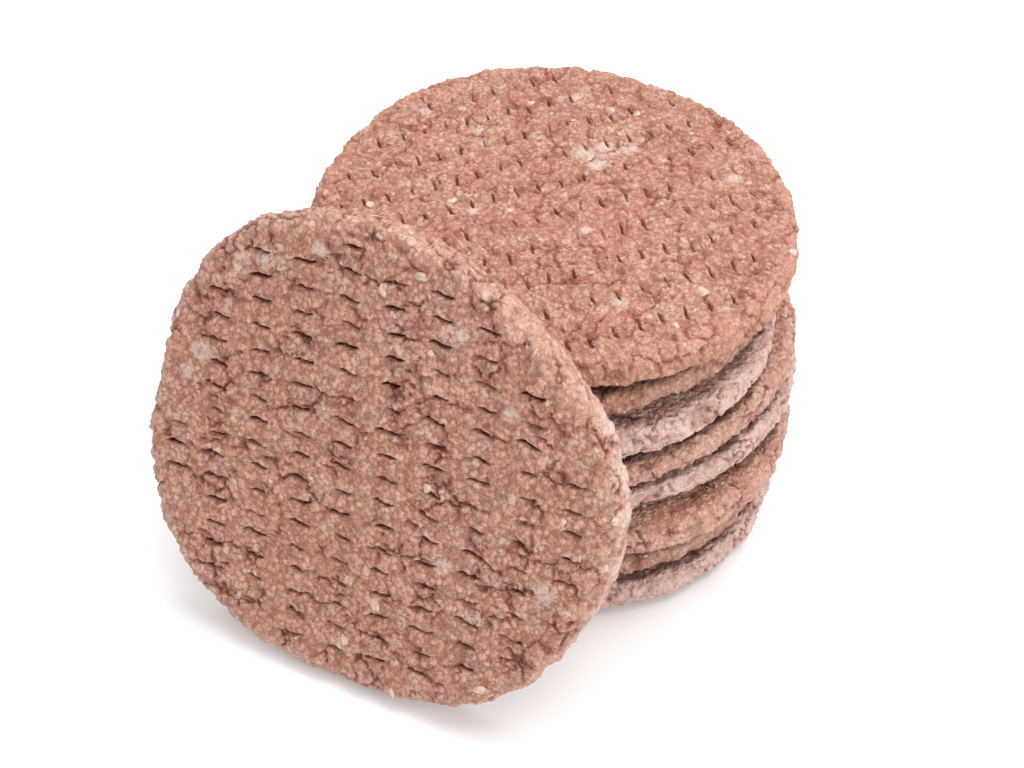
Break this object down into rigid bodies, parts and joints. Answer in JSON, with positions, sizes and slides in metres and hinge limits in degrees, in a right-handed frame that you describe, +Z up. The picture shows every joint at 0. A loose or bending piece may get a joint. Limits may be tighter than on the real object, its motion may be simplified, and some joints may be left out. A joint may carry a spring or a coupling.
{
  "type": "ground meat patty pile",
  "caption": "Upright pile of round needle-scored raw ground-meat patties, with one more patty leaning on its rim against the front left of the pile.",
  "frame": {"origin": "centre of the bottom patty's underside, where the stack's upright axis meets the table", "axes": "+Z up the stack; -Y towards the side the leaning patty stands on; +X to the right seen from there"},
  "size_m": [0.1577, 0.1595, 0.1085],
  "materials": {
    "mince": "matte, fine-grained raw minced meat",
    "pale_mince": "matte, fine-grained raw minced meat paled by frost"
  },
  "bodies": {
    "bottom_patty": {"bottom_patty": "pale_mince"},
    "second_patty": {"second_patty": "mince"},
    "third_patty": {"third_patty": "mince"},
    "fourth_patty": {"fourth_patty": "mince"},
    "fifth_patty": {"fifth_patty": "mince"},
    "sixth_patty": {"sixth_patty": "pale_mince"},
    "seventh_patty": {"seventh_patty": "mince"},
    "top_patty": {"top_patty": "mince"},
    "leaning_patty": {"leaning_patty": "mince"}
  },
  "joints": [
    {"name": "second_lift", "type": "slide", "parent": "bottom_patty", "child": "second_patty", "axis": [0.1671, 0.3352, 0.9272], "range_m": [0, 0.04]},
    {"name": "third_lift", "type": "slide", "parent": "second_patty", "child": "third_patty", "axis": [0.1671, 0.3352, 0.9272], "range_m": [0, 0.04]},
    {"name": "fourth_lift", "type": "slide", "parent": "third_patty", "child": "fourth_patty", "axis": [0.1671, 0.3352, 0.9272], "range_m": [0, 0.04]},
    {"name": "fifth_lift", "type": "slide", "parent": "fourth_patty", "child": "fifth_patty", "axis": [0.1671, 0.3352, 0.9272], "range_m": [0, 0.04]},
    {"name": "sixth_lift", "type": "slide", "parent": "fifth_patty", "child": "sixth_patty", "axis": [0.1671, 0.3352, 0.9272], "range_m": [0, 0.04]},
    {"name": "seventh_lift", "type": "slide", "parent": "sixth_patty", "child": "seventh_patty", "axis": [0.1671, 0.3352, 0.9272], "range_m": [0, 0.04]},
    {"name": "top_lift", "type": "slide", "parent": "seventh_patty", "child": "top_patty", "axis": [0.1671, 0.3352, 0.9272], "range_m": [0, 0.04]},
    {"name": "lean_away", "type": "slide", "parent": "bottom_patty", "child": "leaning_patty", "axis": [-0.4229, -0.8482, 0.319], "range_m": [0, 0.08]}
  ]
}
